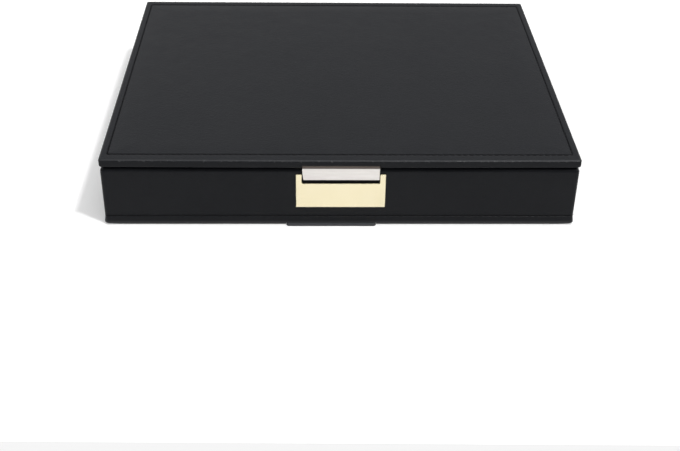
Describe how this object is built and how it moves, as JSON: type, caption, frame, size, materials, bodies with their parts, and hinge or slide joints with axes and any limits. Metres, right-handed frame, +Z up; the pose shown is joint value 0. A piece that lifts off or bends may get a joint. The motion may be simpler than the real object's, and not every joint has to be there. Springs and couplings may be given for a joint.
{
  "type": "cufflink box",
  "caption": "Low rectangular leatherette box with a hinged stitched lid, a bare brass front plate, a lift tab and a velvet-lined grid of compartments for cufflinks.",
  "frame": {"origin": "under the middle of the walls, on the surface the box stands on", "axes": "+Z up, -Y is the front with the plate and the lift tab, +X to the right seen from the front"},
  "size_m": [0.2502, 0.2067, 0.04],
  "materials": {
    "board": "raw fibreboard",
    "leatherette": "fine-grain matte",
    "base_felt": "felt",
    "velvet": "short velvet",
    "tab_leather": "smooth matte",
    "brass": "satin, pale gold",
    "hinge_brass": "polished",
    "steel": "drawn wire"
  },
  "bodies": {
    "box": {"front_wall_board": "board", "rear_wall_board": "board", "left_wall_board": "board", "right_wall_board": "board", "base_board": "board", "wall_cover": "leatherette", "base_tab": "leatherette", "bottom_panel": "base_felt", "front_lining": "velvet", "rear_lining": "velvet", "left_lining": "velvet", "right_lining": "velvet", "floor_pad": "velvet", "name_plate": "brass", "left_base_leaf": "hinge_brass", "right_base_leaf": "hinge_brass", "left_hinge_pin": "steel", "right_hinge_pin": "steel", "base_leaf_screws": "hinge_brass", "long_divider_1": "velvet", "long_divider_2": "velvet", "long_divider_3": "velvet", "cross_divider_1": "velvet", "cross_divider_2": "velvet", "cross_divider_3": "velvet", "cross_divider_4": "velvet", "cross_divider_5": "velvet"},
    "lid": {"lid_board": "board", "lid_cover": "leatherette", "lid_pad": "velvet", "lift_tab": "tab_leather", "left_lid_leaf": "hinge_brass", "right_lid_leaf": "hinge_brass", "lid_leaf_screws": "hinge_brass"}
  },
  "joints": [
    {"name": "lid_hinge", "type": "hinge", "parent": "box", "child": "lid", "pos_m": [0, 0.101, 0.03488], "axis": [-1, 0, 0], "range_deg": [0, 100]}
  ]
}
